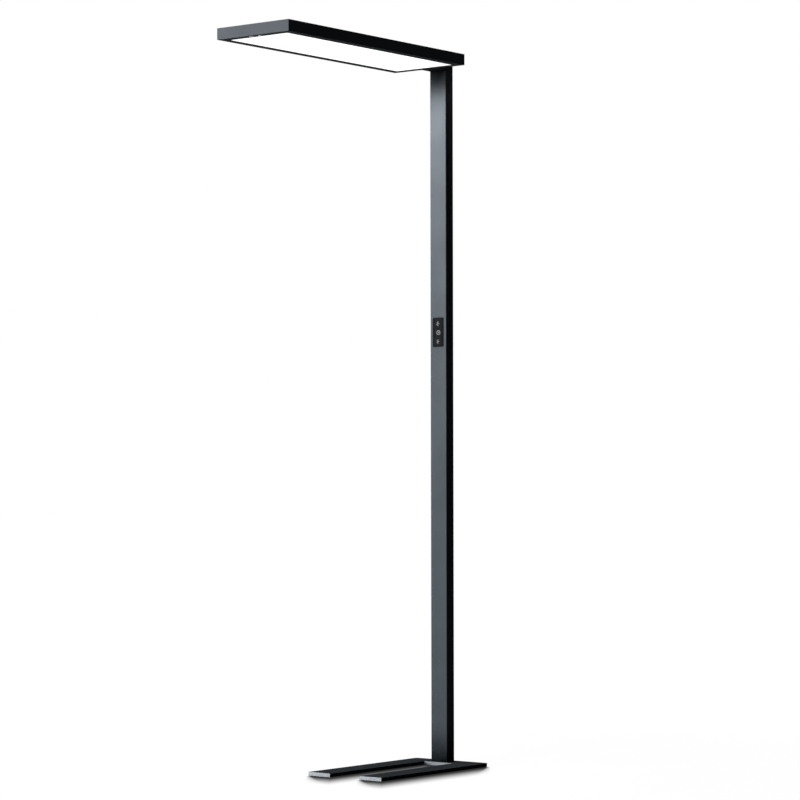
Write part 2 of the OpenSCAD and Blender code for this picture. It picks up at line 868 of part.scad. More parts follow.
module sensor_housing() {
    color(coat_dark) difference() {
        translate([0, rim_mid_y, head_z + rail_wall]) block(sensor_l, sensor_w, sensor_h);
        for (side = [-1, 1])
            sensor_places(side) translate([0, 0, rail_wall - past])
                cylinder(r = lens_flange_r + slack, h = sensor_h - 2 + past);
    }
}

module sensor_board() {
    color(board_green) translate([0, rim_mid_y, head_z + rail_wall + sensor_h]) block(sensor_l, sensor_w, board_t);
}

// Domed lens, revolved: a cap of a sphere below the rim, a body through it and a flange above
module motion_lens() {
    sphere_r = (lens_r * lens_r + dome_h * dome_h) / (2 * dome_h);
    color("white") sensor_places(1) {
        cylinder(r = lens_r, h = rail_wall);
        translate([0, 0, rail_wall]) cylinder(r = lens_flange_r, h = lens_flange_t);
        rotate_extrude() intersection() {
            translate([0, sphere_r - dome_h]) circle(sphere_r, $fn = 96);
            translate([0, -dome_h - past]) square([lens_r + past, dome_h + past]);
        }
    }
}

module daylight_lens() {
    color([0.6, 0.62, 0.64]) sensor_places(-1) {
        cylinder(r = lens_r, h = rail_wall);
        translate([0, 0, rail_wall]) cylinder(r = lens_flange_r, h = lens_flange_t);
    }
}

base_plate();
base_pads();
foot_screws();
pole();
cable_gland();
gland_nut();
mains_connector();
supply_lead();
control_lead();
neck_bracket();
neck_cover();
neck_screws();
neck_cover_screws();
head_bolts();
control_bezel();
control_back();
control_board();
switch_bodies();
push_key(1);  // key_upper
push_key(0);  // key_middle
push_key(-1);  // key_lower
push_plunger(1);  // plunger_upper
push_plunger(0);  // plunger_middle
push_plunger(-1);  // plunger_lower
frame_left();
frame_right();
frame_front();
frame_rear();
corner_keys();
downlight_diffuser();
light_guide();
reflector_sheet();
downlight_strips();
head_tray();
uplight_boards();
uplight_diffuser();
head_cover();
cover_screws();
led_drivers();
driver_screws();
terminal_block();
sensor_housing();
sensor_board();
motion_lens();
daylight_lens();
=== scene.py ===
import json
import math

import bmesh
import bpy
from mathutils import Matrix, Vector

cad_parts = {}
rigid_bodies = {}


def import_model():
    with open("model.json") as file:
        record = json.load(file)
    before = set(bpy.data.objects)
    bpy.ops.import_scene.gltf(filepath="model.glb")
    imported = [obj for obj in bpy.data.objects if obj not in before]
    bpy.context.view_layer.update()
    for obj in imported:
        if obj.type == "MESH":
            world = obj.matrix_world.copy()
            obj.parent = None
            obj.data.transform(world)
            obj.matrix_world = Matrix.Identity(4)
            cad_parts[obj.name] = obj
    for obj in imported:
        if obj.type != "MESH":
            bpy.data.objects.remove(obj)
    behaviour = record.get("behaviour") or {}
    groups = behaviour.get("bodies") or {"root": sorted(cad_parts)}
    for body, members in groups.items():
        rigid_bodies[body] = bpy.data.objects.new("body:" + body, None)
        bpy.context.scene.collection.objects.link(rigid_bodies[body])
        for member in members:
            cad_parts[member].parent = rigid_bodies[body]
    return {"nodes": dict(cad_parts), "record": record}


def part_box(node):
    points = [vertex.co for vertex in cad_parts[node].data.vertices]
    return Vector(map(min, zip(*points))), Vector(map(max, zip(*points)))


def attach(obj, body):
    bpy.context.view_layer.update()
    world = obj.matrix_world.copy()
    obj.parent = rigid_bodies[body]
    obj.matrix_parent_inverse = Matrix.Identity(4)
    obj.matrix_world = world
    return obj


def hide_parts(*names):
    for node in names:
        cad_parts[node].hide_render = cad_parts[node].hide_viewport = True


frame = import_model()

# ---- Places and sizes, in metres, in the frame of the CAD model ----

MM = 0.001
POLE_FACE_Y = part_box("pole")[0].y
KEY_FACE_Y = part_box("key_upper")[0].y
HAND_Z = 1.2
HEAD_UNDERSIDE_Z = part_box("downlight_diffuser")[0].z
TINE_END_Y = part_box("base_plate")[0].y

# The slot between the tines is as wide as the room for a desk leg, and ends a little behind it
LEG_ROOM_X, LEG_ROOM_Y, _ = frame["record"]["physics"]["openings"][0]["box_m"][1]
SLOT_HALF = LEG_ROOM_X
SLOT_END_Y = LEG_ROOM_Y + 2.0 * MM

# ---- Finishes, as sRGB values from 0 to 255 ----

ANTHRACITE = (92, 97, 102)
# Paler coat for rubbed edges and scuffs, also used as a painted highlight along the coat's edges
ANTHRACITE_WEAR_AND_HIGHLIGHT = (118, 123, 129)
# Painted shade that darkens the coat in inner corners
PAINTED_CORNER_SHADE = (6, 6, 7)
PLATE_GREY = (49, 53, 58)
DUST = (150, 148, 142)
# Bare steel of the forward cut faces, made light as a painted highlight of the front light
LIT_MILLED_STEEL = (181, 183, 187)
# Painted shade: darker steel for the cut face at the slot's end
SHADED_SLOT_STEEL = (152, 154, 159)
ZINC = (176, 178, 182)
BLACKENED = (52, 53, 56)
MILL_ALUMINIUM = (196, 198, 201)
MOULDED_BLACK = (22, 22, 25)
KEY_BLACK = (27, 27, 30)
PRINT_GREY = (154, 156, 158)
RUBBER_BLACK = (24, 24, 25)
OPAL = (243, 245, 247)
LAMP_WHITE = (255, 253, 248)
CLEAR = (232, 242, 244)
SHEET_WHITE = (238, 239, 238)
HOUSING_WHITE = (226, 226, 221)
LENS_WHITE = (232, 233, 230)
LENS_GREY = (118, 121, 126)
BOARD_GREEN = (34, 96, 58)
BOARD_WHITE = (228, 229, 228)
COPPER = (196, 150, 92)
JACKET_BLACK = (30, 30, 32)


def tone(srgb, factor=1.0):
    """Linear RGBA of an sRGB colour from 0 to 255, made darker or lighter by the factor."""
    scaled = [min(255, c * factor) for c in srgb]
    linear = [((c / 255 + 0.055) / 1.055) ** 2.4 if c > 10 else c / 255 / 12.92 for c in scaled]
    return (*linear, 1.0)


# ---- Node helpers ----

SOCKETS = {"f": "NodeSocketFloat", "v": "NodeSocketVector"}

# Sockets of a Mix node that are used for colours
MIX_FIRST, MIX_SECOND, MIX_RESULT = 6, 7, 2


def feed(tree, node, inputs):
    """Sets a node's inputs to values, or links them from sockets."""
    for name, value in inputs.items():
        if isinstance(value, bpy.types.NodeSocket):
            tree.links.new(value, node.inputs[name])
        else:
            node.inputs[name].default_value = value


def put(tree, kind, inputs=None, **settings):
    """Adds a shader node. Inputs are values, or sockets to link from."""
    node = tree.nodes.new("ShaderNode" + kind)
    for name, value in settings.items():
        setattr(node, name, value)
    feed(tree, node, inputs or {})
    return node


def maths(tree, operation, a, b=0.0, clamp=False):
    """Result of a maths node."""
    return put(tree, "Math", {0: a, 1: b}, operation=operation, use_clamp=clamp).outputs[0]


def vector_maths(tree, operation, a, b=None):
    """Outputs of a vector maths node, which may have one input or two."""
    inputs = {0: a} if b is None else {0: a, 1: b}
    return put(tree, "VectorMath", inputs, operation=operation).outputs


def weigh(tree, first, share, second):
    """Sum of two values, of which the first has the given share and the second the rest."""
    part = maths(tree, "MULTIPLY", first, share)
    rest = maths(tree, "MULTIPLY", second, 1.0 - share)
    return maths(tree, "ADD", part, rest)


def spread(tree, value, low, high, to_low=0.0, to_high=1.0, **settings):
    """Maps value from low..high to the new range, and holds it there."""
    limits = {"Value": value, "From Min": low, "From Max": high, "To Min": to_low, "To Max": to_high}
    return put(tree, "MapRange", limits, clamp=True, **settings).outputs["Result"]


def between(tree, mask, low, high):
    """Runs from low to high as the mask runs from 0 to 1."""
    return spread(tree, mask, 0.0, 1.0, low, high)


def noise(tree, place, scale, detail, **more):
    """Value of a noise texture."""
    inputs = {"Vector": place, "Scale": scale, "Detail": detail, **more}
    return put(tree, "TexNoise", inputs).outputs["Fac"]


# Most of a noise's values lie between these
MIDDLE = (0.3, 0.7)


def blend_colours(tree, factor, first, second):
    """The first colour where the factor is 0, and the second where it is 1."""
    mix = put(tree, "Mix", {"Factor": factor}, data_type="RGBA")
    feed(tree, mix, {MIX_FIRST: first, MIX_SECOND: second})
    return mix.outputs[MIX_RESULT]


def new_group(name, inputs, outputs):
    """An empty node group. Inputs are (label, kind, value) and outputs (label, kind)."""
    tree = bpy.data.node_groups.new(name, "ShaderNodeTree")
    for label, kind, value in inputs:
        socket = tree.interface.new_socket(label, in_out="INPUT", socket_type=SOCKETS[kind])
        if value is not None:
            socket.default_value = value
    for label, kind in outputs:
        tree.interface.new_socket(label, in_out="OUTPUT", socket_type=SOCKETS[kind])
    return tree, tree.nodes.new("NodeGroupInput").outputs, tree.nodes.new("NodeGroupOutput")


def use(tree, group, **inputs):
    """Places a node group in a material and gives its outputs."""
    node = tree.nodes.new("ShaderNodeGroup")
    node.node_tree = GROUPS[group]
    feed(tree, node, inputs)
    return node.outputs


# ---- Effects that several finishes share ----


def build_coat_skin():
    """Baked powder coating: fine grain over a soft orange peel, and a slow drift of tone."""
    tree, into, out = new_group(
        "coat_skin",
        [("Place", "v", None), ("Grain", "f", 2600.0), ("Peel", "f", 620.0)],
        [("Height", "f"), ("Tone", "f"), ("Shine", "f")],
    )
    grain = noise(tree, into["Place"], scale=into["Grain"], detail=1.5)
    cells = {"Vector": into["Place"], "Scale": into["Peel"]}
    peel = put(tree, "TexVoronoi", cells, feature="SMOOTH_F1").outputs["Distance"]
    drift = noise(tree, into["Place"], scale=9.0, detail=3.0)
    cloud = noise(tree, into["Place"], scale=55.0, detail=2.0)
    slow = maths(tree, "MULTIPLY", spread(tree, drift, *MIDDLE), 0.5)
    speck = spread(tree, grain, 0.35, 0.65, 0.0, 0.5)
    feed(
        tree,
        out,
        {
            "Height": weigh(tree, grain, 0.55, peel),
            "Tone": maths(tree, "ADD", slow, speck),
            "Shine": spread(tree, cloud, *MIDDLE),
        },
    )
    return tree


def build_die_lines():
    """Faint lines that an extrusion keeps from its die, along the stretched axis."""
    tree, into, out = new_group(
        "die_lines",
        [("Place", "v", None), ("Stretch", "v", (1.0, 1.0, 0.004))],
        [("Height", "f"), ("Streak", "f")],
    )
    drawn = vector_maths(tree, "MULTIPLY", into["Place"], into["Stretch"])[0]
    fine = noise(tree, drawn, scale=900.0, detail=3.0)
    broad = noise(tree, drawn, scale=120.0, detail=2.0)
    both = weigh(tree, fine, 0.7, broad)
    feed(tree, out, {"Height": both, "Streak": spread(tree, both, 0.38, 0.62)})
    return tree


def build_edge_wear_and_highlight():
    """Mask of edges that hands and cleaning have rubbed, broken up so that no edge is even. On the
    coat it also makes a painted highlight along the edges.
    """
    tree, into, out = new_group(
        "edge_wear_and_highlight",
        [("Place", "v", None), ("Width", "f", 0.6 * MM), ("Amount", "f", 0.5)],
        [("Mask", "f")],
    )
    rounded = put(tree, "Bevel", {"Radius": into["Width"]}, samples=4).outputs[0]
    true = put(tree, "NewGeometry").outputs["Normal"]
    same = vector_maths(tree, "DOT_PRODUCT", rounded, true)["Value"]
    near = spread(tree, maths(tree, "SUBTRACT", 1.0, same), 0.02, 0.18)
    patch = noise(tree, into["Place"], scale=60.0, detail=5.0)
    broken = maths(tree, "MULTIPLY", near, spread(tree, patch, 0.42, 0.62))
    feed(tree, out, {"Mask": maths(tree, "MULTIPLY", broken, into["Amount"], True)})
    return tree


def build_dust_film():
    """Mask of the thin dust that settles on faces that look up."""
    tree, into, out = new_group(
        "dust_film", [("Place", "v", None), ("Amount", "f", 0.3)], [("Mask", "f")]
    )
    facing = put(tree, "SeparateXYZ", {0: put(tree, "NewGeometry").outputs["Normal"]})
    up = spread(tree, facing.outputs["Z"], 0.6, 0.98)
    cloud = noise(tree, into["Place"], scale=24.0, detail=6.0)
    speck = noise(tree, into["Place"], scale=1500.0, detail=1.0)
    patchy = spread(tree, cloud, 0.35, 0.75, 0.25, 0.8)
    total = maths(tree, "ADD", patchy, spread(tree, speck, 0.62, 0.72))
    settled = maths(tree, "MULTIPLY", up, total)
    feed(tree, out, {"Mask": maths(tree, "MULTIPLY", settled, into["Amount"], True)})
    return tree


def build_brushed():
    """Short scratches of brushed or milled metal, along the stretched axis."""
    tree, into, out = new_group(
        "brushed",
        [("Place", "v", None), ("Stretch", "v", (1.0, 1.0, 0.05)), ("Lines", "f", 2200.0)],
        [("Height", "f"), ("Shade", "f"), ("Shine", "f")],
    )
    drawn = vector_maths(tree, "MULTIPLY", into["Place"], into["Stretch"])[0]
    lines = noise(tree, drawn, scale=into["Lines"], detail=4.0)
    stain = noise(tree, into["Place"], scale=130.0, detail=4.0)
    scratched = spread(tree, lines, *MIDDLE, 0.0, 0.6)
    stained = spread(tree, stain, 0.35, 0.7, 0.0, 0.4)
    feed(
        tree,
        out,
        {
            "Height": lines,
            "Shade": maths(tree, "ADD", scratched, stained),
            "Shine": spread(tree, stain, *MIDDLE),
        },
    )
    return tree


def build_moulded_skin():
    """Spark-eroded grain of a moulded part, with slow flow marks."""
    tree, into, out = new_group(
        "moulded_skin",
        [("Place", "v", None), ("Grain", "f", 3200.0)],
        [("Height", "f"), ("Tone", "f"), ("Shine", "f")],
    )
    pits = put(tree, "TexVoronoi", {"Vector": into["Place"], "Scale": into["Grain"]})
    grain = noise(tree, into["Place"], scale=into["Grain"], detail=3.0)
    flow = noise(tree, into["Place"], scale=85.0, detail=3.0, Distortion=1.2)
    feed(
        tree,
        out,
        {
            "Height": weigh(tree, pits.outputs["Distance"], 0.5, grain),
            "Tone": spread(tree, grain, *MIDDLE),
            "Shine": spread(tree, flow, *MIDDLE),
        },
    )
    return tree


def build_finger_marks():
    """Mask of greasy finger marks, strongest at one place and fading over a reach."""
    tree, into, out = new_group(
        "finger_marks",
        [("Place", "v", None), ("Centre", "v", (0.0, 0.0, HAND_Z)), ("Reach", "f", 0.2)],
        [("Mask", "f")],
    )
    away = vector_maths(tree, "DISTANCE", into["Place"], into["Centre"])["Value"]
    near = spread(tree, maths(tree, "DIVIDE", away, into["Reach"]), 1.0, 0.1)
    prints = noise(tree, into["Place"], scale=48.0, detail=2.0, Distortion=2.0)
    waves = {"Vector": into["Place"], "Scale": 420.0, "Distortion": 14.0, "Detail Scale": 0.3}
    ridges = put(tree, "TexWave", waves).outputs["Fac"]
    touched = spread(tree, prints, 0.52, 0.6)
    lines = spread(tree, ridges, 0.2, 0.8, 0.55, 1.0)
    marks = maths(tree, "MULTIPLY", touched, lines)
    feed(tree, out, {"Mask": maths(tree, "MULTIPLY", marks, near, True)})
    return tree


def build_painted_corner_shade():
    """Painted shade: the coat is darkened where faces meet at an inner corner, found by ambient
    occlusion, fading out over a reach.
    """
    tree, into, out = new_group(
        "painted_corner_shade",
        [("Place", "v", None), ("Reach", "f", 0.12), ("Amount", "f", 0.8)],
        [("Mask", "f")],
    )
    open_air = put(tree, "AmbientOcclusion", {"Distance": into["Reach"]}, samples=8).outputs["AO"]
    closed = spread(tree, open_air, 0.97, 0.58)
    patch = noise(tree, into["Place"], scale=30.0, detail=4.0)
    patchy = maths(tree, "MULTIPLY", closed, spread(tree, patch, *MIDDLE, 0.9, 1.0))
    feed(tree, out, {"Mask": maths(tree, "MULTIPLY", patchy, into["Amount"], True)})
    return tree


GROUPS = {}
for build in (
    build_coat_skin,
    build_die_lines,
    build_edge_wear_and_highlight,
    build_dust_film,
    build_brushed,
    build_moulded_skin,
    build_finger_marks,
    build_painted_corner_shade,
):
    made = build()
    GROUPS[made.name] = made


# ---- Finishes ----


def start_finish(name):
    """A material with its shader, and the place on the part that its textures read."""
    finish = bpy.data.materials.new(name)
    finish.use_nodes = True
    tree = finish.node_tree
    shader = tree.nodes["Principled BSDF"]
    place = put(tree, "TexCoord").outputs["Object"]
    return finish, tree, shader, place


def bump(tree, height, depth, strength=0.5):
    """Normal of a surface with the given height, of which 1 is as deep as depth."""
    inputs = {"Height": height, "Distance": depth, "Strength": strength}
    return put(tree, "Bump", inputs).outputs[0]


COAT_ROUGHNESS = 0.7
COAT_SPECULAR = 0.0


def coated_aluminium(name, stretch):
    """Anthracite powder coating on an extrusion whose die lines run along the stretched axis."""
    finish, tree, shader, place = start_finish(name)
    touched = (0.0, POLE_FACE_Y, HAND_Z)
    skin = use(tree, "coat_skin", Place=place)
    lines = use(tree, "die_lines", Place=place, Stretch=stretch)
    rub_and_highlight = use(tree, "edge_wear_and_highlight", Place=place, Width=0.6 * MM, Amount=0.45)
    dust = use(tree, "dust_film", Place=place, Amount=0.1)
    marks = use(tree, "finger_marks", Place=place, Centre=touched, Reach=0.24)
    corner_shade = use(tree, "painted_corner_shade", Place=place, Reach=0.13, Amount=1.0)
    dark, light = tone(ANTHRACITE, 0.9), tone(ANTHRACITE, 1.08)
    colour = blend_colours(tree, skin["Tone"], dark, light)
    colour = blend_colours(tree, maths(tree, "MULTIPLY", lines["Streak"], 0.18), colour, light)
    # Paler edges: partly rubbed wear, partly a painted highlight along the edges
    colour = blend_colours(tree, rub_and_highlight["Mask"], colour, tone(ANTHRACITE_WEAR_AND_HIGHLIGHT))
    colour = blend_colours(tree, dust["Mask"], colour, tone(DUST))
    # Painted shade: the coat darkens towards black in inner corners, such as under the head and at
    # the pole's foot
    colour = blend_colours(tree, corner_shade["Mask"], colour, tone(PAINTED_CORNER_SHADE))
    rough = between(tree, skin["Shine"], COAT_ROUGHNESS - 0.05, COAT_ROUGHNESS + 0.05)
    rough = maths(tree, "SUBTRACT", rough, maths(tree, "MULTIPLY", marks["Mask"], 0.16))
    rough = maths(tree, "ADD", rough, maths(tree, "MULTIPLY", dust["Mask"], 0.3), True)
    height = maths(tree, "ADD", skin["Height"], maths(tree, "MULTIPLY", lines["Height"], 0.5))
    look = {
        "Base Color": colour,
        "Roughness": rough,
        "Specular IOR Level": COAT_SPECULAR,
        "Normal": bump(tree, height, 0.06 * MM, 0.55),
    }
    feed(tree, shader, look)
    return finish


# Behind a forward cut face the metal is painted as lit bare steel up to the first depth, and all
# coated past the second
BARE_DEPTH = 1.0 * MM
COATED_DEPTH = 1.5 * MM
BARE_METALLIC = 0.45


def lit_cut_faces(tree, place):
    """Masks of the base's forward-facing cut faces, painted as lit bare steel where the front light
    falls: all of them, and those from the end of the slot back.
    """
    facing = put(tree, "SeparateXYZ", {0: put(tree, "NewGeometry").outputs["True Normal"]})
    forward = spread(tree, facing.outputs["Y"], -0.9, -0.98)
    y = put(tree, "SeparateXYZ", {0: place}).outputs["Y"]
    at_tines = spread(tree, y, TINE_END_Y + COATED_DEPTH, TINE_END_Y + BARE_DEPTH)
    past_slot = spread(tree, y, SLOT_END_Y - COATED_DEPTH, SLOT_END_Y - BARE_DEPTH)
    cut = maths(tree, "ADD", at_tines, past_slot, True)
    return maths(tree, "MULTIPLY", cut, forward), past_slot


def coated_steel():
    """The base plate: a coarser coat, scuffed on top, and bare milled metal on the forward cut faces,
    painted light as a highlight where the front light falls and darker at the slot's end as painted
    shade.
    """
    finish, tree, shader, place = start_finish("coated_steel_plate")
    skin = use(tree, "coat_skin", Place=place, Grain=1900.0, Peel=430.0)
    rub_and_highlight = use(tree, "edge_wear_and_highlight", Place=place, Width=0.9 * MM, Amount=0.7)
    dust = use(tree, "dust_film", Place=place, Amount=0.06)
    milled = use(tree, "brushed", Place=place, Stretch=(0.06, 1.0, 1.0), Lines=1800.0)
    colour = blend_colours(tree, skin["Tone"], tone(PLATE_GREY, 0.88), tone(PLATE_GREY, 1.08))
    scratch = noise(tree, place, scale=70.0, detail=8.0, Roughness=0.7, Distortion=3.0)
    scuffs = spread(tree, scratch, 0.66, 0.7, 0.0, 0.3)
    colour = blend_colours(tree, scuffs, colour, tone(ANTHRACITE_WEAR_AND_HIGHLIGHT))
    colour = blend_colours(tree, rub_and_highlight["Mask"], colour, tone(ANTHRACITE_WEAR_AND_HIGHLIGHT))
    colour = blend_colours(tree, dust["Mask"], colour, tone(DUST))
    lit_cut, past_slot = lit_cut_faces(tree, place)
    # Painted highlight: the forward cut faces get light bare steel, while the cut faces on the sides
    # stay coated
    steel = blend_colours(tree, milled["Shade"], tone(LIT_MILLED_STEEL, 0.86), tone(LIT_MILLED_STEEL))
    # Painted shade: the slot's end face is darkened, as it lies in shade between the tines
    steel = blend_colours(tree, past_slot, steel, tone(SHADED_SLOT_STEEL))
    coat_rough = between(tree, skin["Shine"], COAT_ROUGHNESS - 0.04, COAT_ROUGHNESS + 0.08)
    bare_rough = between(tree, milled["Shine"], 0.34, 0.5)
    coated = maths(tree, "MULTIPLY", maths(tree, "SUBTRACT", 1.0, lit_cut), coat_rough)
    rough = maths(tree, "ADD", coated, maths(tree, "MULTIPLY", lit_cut, bare_rough))
    height = maths(tree, "ADD", skin["Height"], maths(tree, "MULTIPLY", milled["Height"], lit_cut))
    look = {
        "Base Color": blend_colours(tree, lit_cut, colour, steel),
        "Metallic": maths(tree, "MULTIPLY", lit_cut, BARE_METALLIC),
        "Roughness": rough,
        "Specular IOR Level": COAT_SPECULAR,
        "Normal": bump(tree, height, 0.08 * MM, 0.6),
    }
    feed(tree, shader, look)
    return finish


def bare_metal(name, colour, roughness, stretch, lines):
    """Plated steel or mill-finish aluminium with fine drawn scratches."""
    finish, tree, shader, place = start_finish(name)
    brushed = use(tree, "brushed", Place=place, Stretch=stretch, Lines=lines)
    rub_and_highlight = use(tree, "edge_wear_and_highlight", Place=place, Width=0.3 * MM, Amount=0.6)
    shade = blend_colours(tree, brushed["Shade"], tone(colour, 0.85), tone(colour))
    look = {
        "Base Color": blend_colours(tree, rub_and_highlight["Mask"], shade, tone(colour, 1.15)),
        "Metallic": 1.0,
        "Roughness": between(tree, brushed["Shine"], roughness - 0.07, roughness + 0.09),
        "Normal": bump(tree, brushed["Height"], 0.03 * MM, 0.4),
    }
    feed(tree, shader, look)
    return finish


def moulded(name, colour, roughness, grain, specular=0.35, wear=1.35, depth=0.04 * MM):
    """A moulded plastic or rubber with its grain, flow marks and paler rubbed edges."""
    finish, tree, shader, place = start_finish(name)
    skin = use(tree, "moulded_skin", Place=place, Grain=grain)
    rub_and_highlight = use(tree, "edge_wear_and_highlight", Place=place, Width=0.3 * MM, Amount=0.5)
    dust = use(tree, "dust_film", Place=place, Amount=0.15)
    shade = blend_colours(tree, skin["Tone"], tone(colour, 0.92), tone(colour, 1.06))
    shade = blend_colours(tree, rub_and_highlight["Mask"], shade, tone(colour, wear))
    look = {
        "Base Color": blend_colours(tree, dust["Mask"], shade, tone(DUST)),
        "Roughness": between(tree, skin["Shine"], roughness - 0.06, roughness + 0.06),
        "Specular IOR Level": specular,
        "Normal": bump(tree, skin["Height"], depth),
    }
    feed(tree, shader, look)
    return finish


def opal_plate(name, glow):
    """Opal acrylic that is lit from inside, a little dimmer in slow clouds."""
    finish, tree, shader, place = start_finish(name)
    skin = use(tree, "moulded_skin", Place=place, Grain=1400.0)
    cloud = spread(tree, noise(tree, place, scale=6.0, detail=2.0), *MIDDLE)
    look = {
        "Base Color": blend_colours(tree, skin["Tone"], tone(OPAL, 0.98), tone(OPAL)),
        "Emission Color": blend_colours(tree, cloud, tone(LAMP_WHITE, 0.985), tone(LAMP_WHITE)),
        "Emission Strength": glow,
        "Roughness": between(tree, skin["Shine"], 0.42, 0.5),
        "Specular IOR Level": 0.3,
        "Normal": bump(tree, skin["Height"], 0.02 * MM, 0.3),
    }
    feed(tree, shader, look)
    return finish


def clear_guide():
    """Clear acrylic light guide with its grid of printed extraction dots."""
    finish, tree, shader, place = start_finish("clear_guide")
    dots = put(tree, "TexVoronoi", {"Vector": place, "Scale": 260.0, "Randomness": 0.0})
    printed_most = 0.35
    printed = spread(tree, dots.outputs["Distance"], 0.3, 0.24, 0.0, printed_most)
    look = {
        "Base Color": blend_colours(tree, printed, tone(CLEAR), tone(SHEET_WHITE)),
        "Roughness": spread(tree, printed, 0.0, printed_most, 0.06, 0.6),
        "Transmission Weight": 0.85,
        "IOR": 1.49,
    }
    feed(tree, shader, look)
    return finish


def lens(name, colour, roughness):
    """A small moulded lens: smooth, a little cloudy, with a faint turned pattern."""
    finish, tree, shader, place = start_finish(name)
    skin = use(tree, "moulded_skin", Place=place, Grain=2400.0)
    rings = put(tree, "TexWave", {"Vector": place, "Scale": 900.0}, wave_type="RINGS")
    look = {
        "Base Color": blend_colours(tree, skin["Tone"], tone(colour, 0.95), tone(colour)),
        "Roughness": between(tree, skin["Shine"], roughness - 0.05, roughness + 0.07),
        "Subsurface Weight": 0.15,
        "Subsurface Radius": (2.0 * MM, 2.0 * MM, 2.0 * MM),
        "Normal": bump(tree, rings.outputs["Fac"], 0.01 * MM, 0.2),
    }
    feed(tree, shader, look)
    return finish


def circuit(name, mask_colour):
    """A lacquered circuit board with its tracks and solder lands."""
    finish, tree, shader, place = start_finish(name)
    bricks = {"Vector": place, "Scale": 90.0, "Mortar Size": 0.012, "Bias": 0.0}
    tracks = put(tree, "TexBrick", bricks).outputs["Fac"]
    lands = put(tree, "TexVoronoi", {"Vector": place, "Scale": 240.0, "Randomness": 0.2})
    line = maths(tree, "SUBTRACT", 1.0, tracks)
    pad = spread(tree, lands.outputs["Distance"], 0.16, 0.12)
    shade = blend_colours(tree, line, tone(mask_colour, 1.2), tone(mask_colour))
    look = {
        "Base Color": blend_colours(tree, pad, shade, tone(COPPER)),
        "Metallic": maths(tree, "MULTIPLY", pad, 0.9),
        "Roughness": between(tree, pad, 0.42, 0.28),
        "Normal": bump(tree, maths(tree, "ADD", line, pad), 0.03 * MM, 0.4),
    }
    feed(tree, shader, look)
    return finish


# How much textures shrink along each axis, which draws them out into lines along it
UPRIGHT = (1.0, 1.0, 0.004)
LENGTHWISE = (1.0, 0.004, 1.0)
CROSSWISE = (0.004, 1.0, 1.0)
UNDRAWN = (0.05, 0.05, 0.05)
TURNED = (1.0, 1.0, 0.08)
ROLLED = (1.0, 0.03, 1.0)

coat_upright = coated_aluminium("coated_alu_upright", UPRIGHT)
coat_lengthwise = coated_aluminium("coated_alu_lengthwise", LENGTHWISE)
coat_crosswise = coated_aluminium("coated_alu_crosswise", CROSSWISE)
coat_sheet = coated_aluminium("coated_alu_sheet", UNDRAWN)
plate_finish = coated_steel()
zinc = bare_metal("zinc_plated_steel", ZINC, roughness=0.36, stretch=TURNED, lines=2600.0)
blackened = bare_metal("blackened_steel", BLACKENED, roughness=0.5, stretch=TURNED, lines=2600.0)
mill_aluminium = bare_metal(
    "mill_aluminium", MILL_ALUMINIUM, roughness=0.42, stretch=ROLLED, lines=1500.0
)
black_plastic = moulded(
    "black_plastic", MOULDED_BLACK, roughness=0.6, grain=3200.0, specular=0.03
)
key_plastic = moulded("key_plastic", KEY_BLACK, roughness=0.55, grain=4200.0, specular=0.03)
key_print = moulded(
    "key_print", PRINT_GREY, roughness=0.6, grain=5200.0, specular=0.03, wear=1.1
)
rubber = moulded(
    "pad_rubber", RUBBER_BLACK, roughness=0.82, grain=2100.0, specular=0.2, depth=0.1 * MM
)
cable_jacket = moulded("cable_jacket", JACKET_BLACK, roughness=0.6, grain=2600.0)
white_sheet = moulded("white_sheet", SHEET_WHITE, roughness=0.75, grain=1800.0, wear=1.02)
housing_white = moulded("housing_white", HOUSING_WHITE, roughness=0.5, grain=2600.0, wear=1.04)
down_opal = opal_plate("opal_downlight", glow=1.0)
up_opal = opal_plate("opal_uplight", glow=0.9)
guide_clear = clear_guide()
lens_white = lens("lens_white", LENS_WHITE, roughness=0.34)
lens_grey = lens("lens_grey", LENS_GREY, roughness=0.2)
board_green = circuit("board_green", BOARD_GREEN)
board_white = circuit("board_white", BOARD_WHITE)

NODE_FINISHES = {
    "pole": coat_upright,
    "frame_left": coat_lengthwise,
    "frame_right": coat_lengthwise,
    "frame_front": coat_crosswise,
    "frame_rear": coat_crosswise,
    "neck_bracket": coat_sheet,
    "neck_cover": coat_sheet,
    "head_cover": coat_sheet,
    "base_plate": plate_finish,
    "downlight_diffuser": down_opal,
    "uplight_diffuser": up_opal,
    "light_guide": guide_clear,
    "reflector_sheet": white_sheet,
    "head_tray": mill_aluminium,
    "motion_lens": lens_white,
    "daylight_lens": lens_grey,
    "base_pads": rubber,
    "control_board": board_green,
    "sensor_board": board_green,
    "downlight_strips": board_white,
    "uplight_boards": board_white,
}
SLOT_FINISHES = {
    "steel": zinc,
    "black_steel": blackened,
    "black_plastic": black_plastic,
    "key_plastic": key_plastic,
    "white_plastic": housing_white,
    "cable_jacket": cable_jacket,
}


def dress_nodes():
    """Gives every CAD node its own finish, or else the finish of its material slot."""
    for name, node in frame["nodes"].items():
        for slot in node.material_slots:
            base = slot.material.name.split(".")[0]
            slot.material = NODE_FINISHES.get(name) or SLOT_FINISHES[base]


# ---- Softened edges on the CAD nodes, in mm ----

